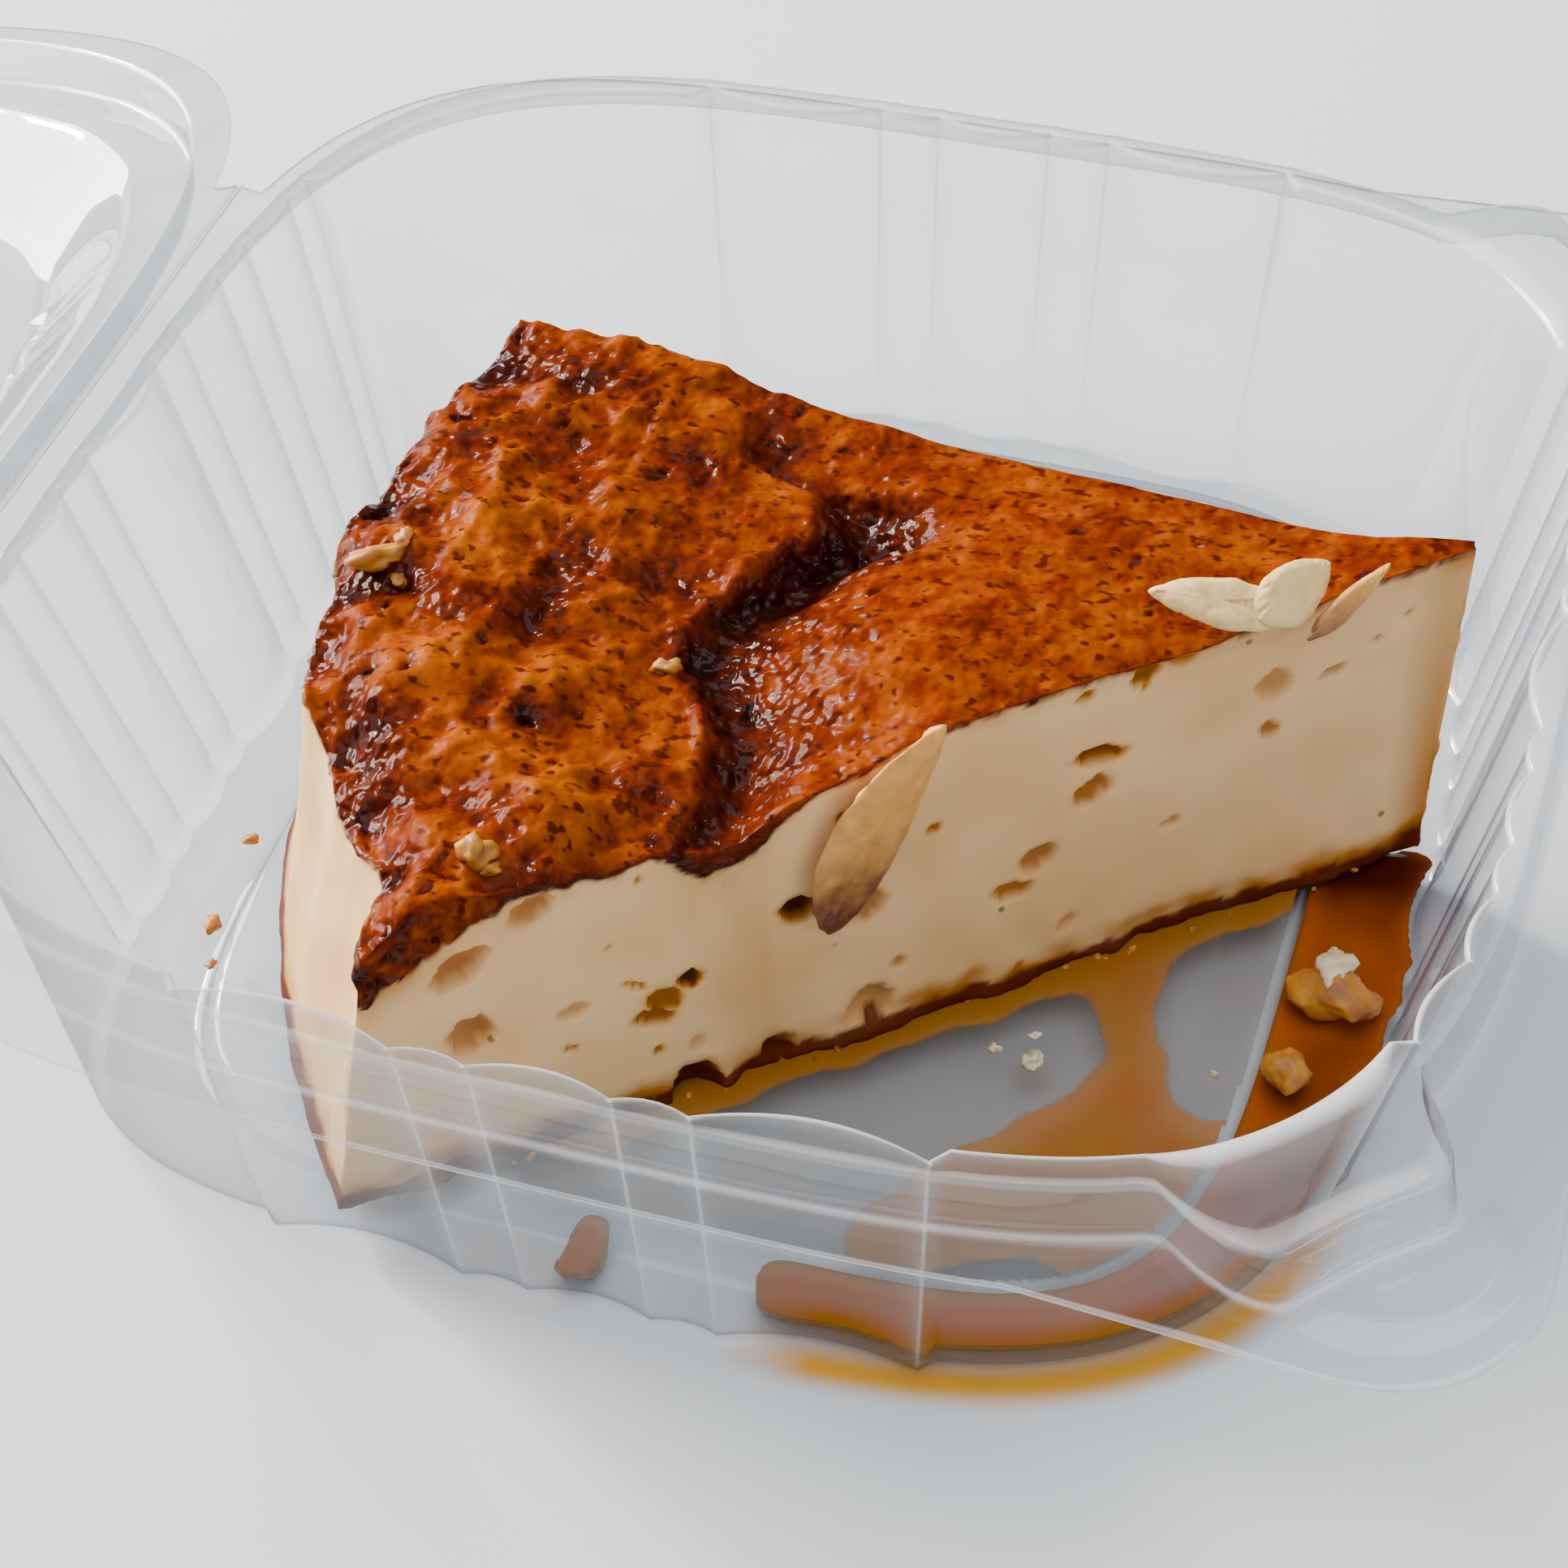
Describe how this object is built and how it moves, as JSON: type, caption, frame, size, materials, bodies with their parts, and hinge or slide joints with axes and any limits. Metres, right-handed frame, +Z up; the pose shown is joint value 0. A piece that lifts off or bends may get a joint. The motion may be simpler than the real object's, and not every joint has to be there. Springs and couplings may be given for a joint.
{
  "type": "caramel flan slice in a hinged clear box",
  "caption": "Slice of caramel flan with almond flakes and pooled caramel, in a clear square box with a scalloped tray and its hinged lid laid open",
  "frame": {"origin": "under the middle of the open box, on the table that it stands on", "axes": "+X from the open lid to the tray, across the hinge; +Z up; +Y along the hinge"},
  "size_m": [0.3114, 0.1526, 0.0422],
  "materials": {
    "clear_plastic": "clear, vacuum-formed and glossy",
    "custard": "moist set custard, with a dark glossy caramel top",
    "caramel": "liquid and glossy",
    "almond": "dry cut almond",
    "toasted_nut": "toasted almond, moist with caramel"
  },
  "bodies": {
    "tray_body": {"box_tray": "clear_plastic", "flan_wedge": "custard", "caramel_pool": "caramel", "caramel_bead": "caramel", "almond_slice_hanging": "almond", "almond_slice_pair": "almond", "almond_sliver_toasted": "toasted_nut", "nut_chip_large": "toasted_nut", "nut_chip_small": "toasted_nut"},
    "lid_body": {"box_lid": "clear_plastic"}
  },
  "joints": [
    {"name": "lid_hinge", "type": "hinge", "parent": "tray_body", "child": "lid_body", "pos_m": [-0.00083, 0, 0.03255], "axis": [0, 1, 0], "range_deg": [0, 188.3]}
  ]
}
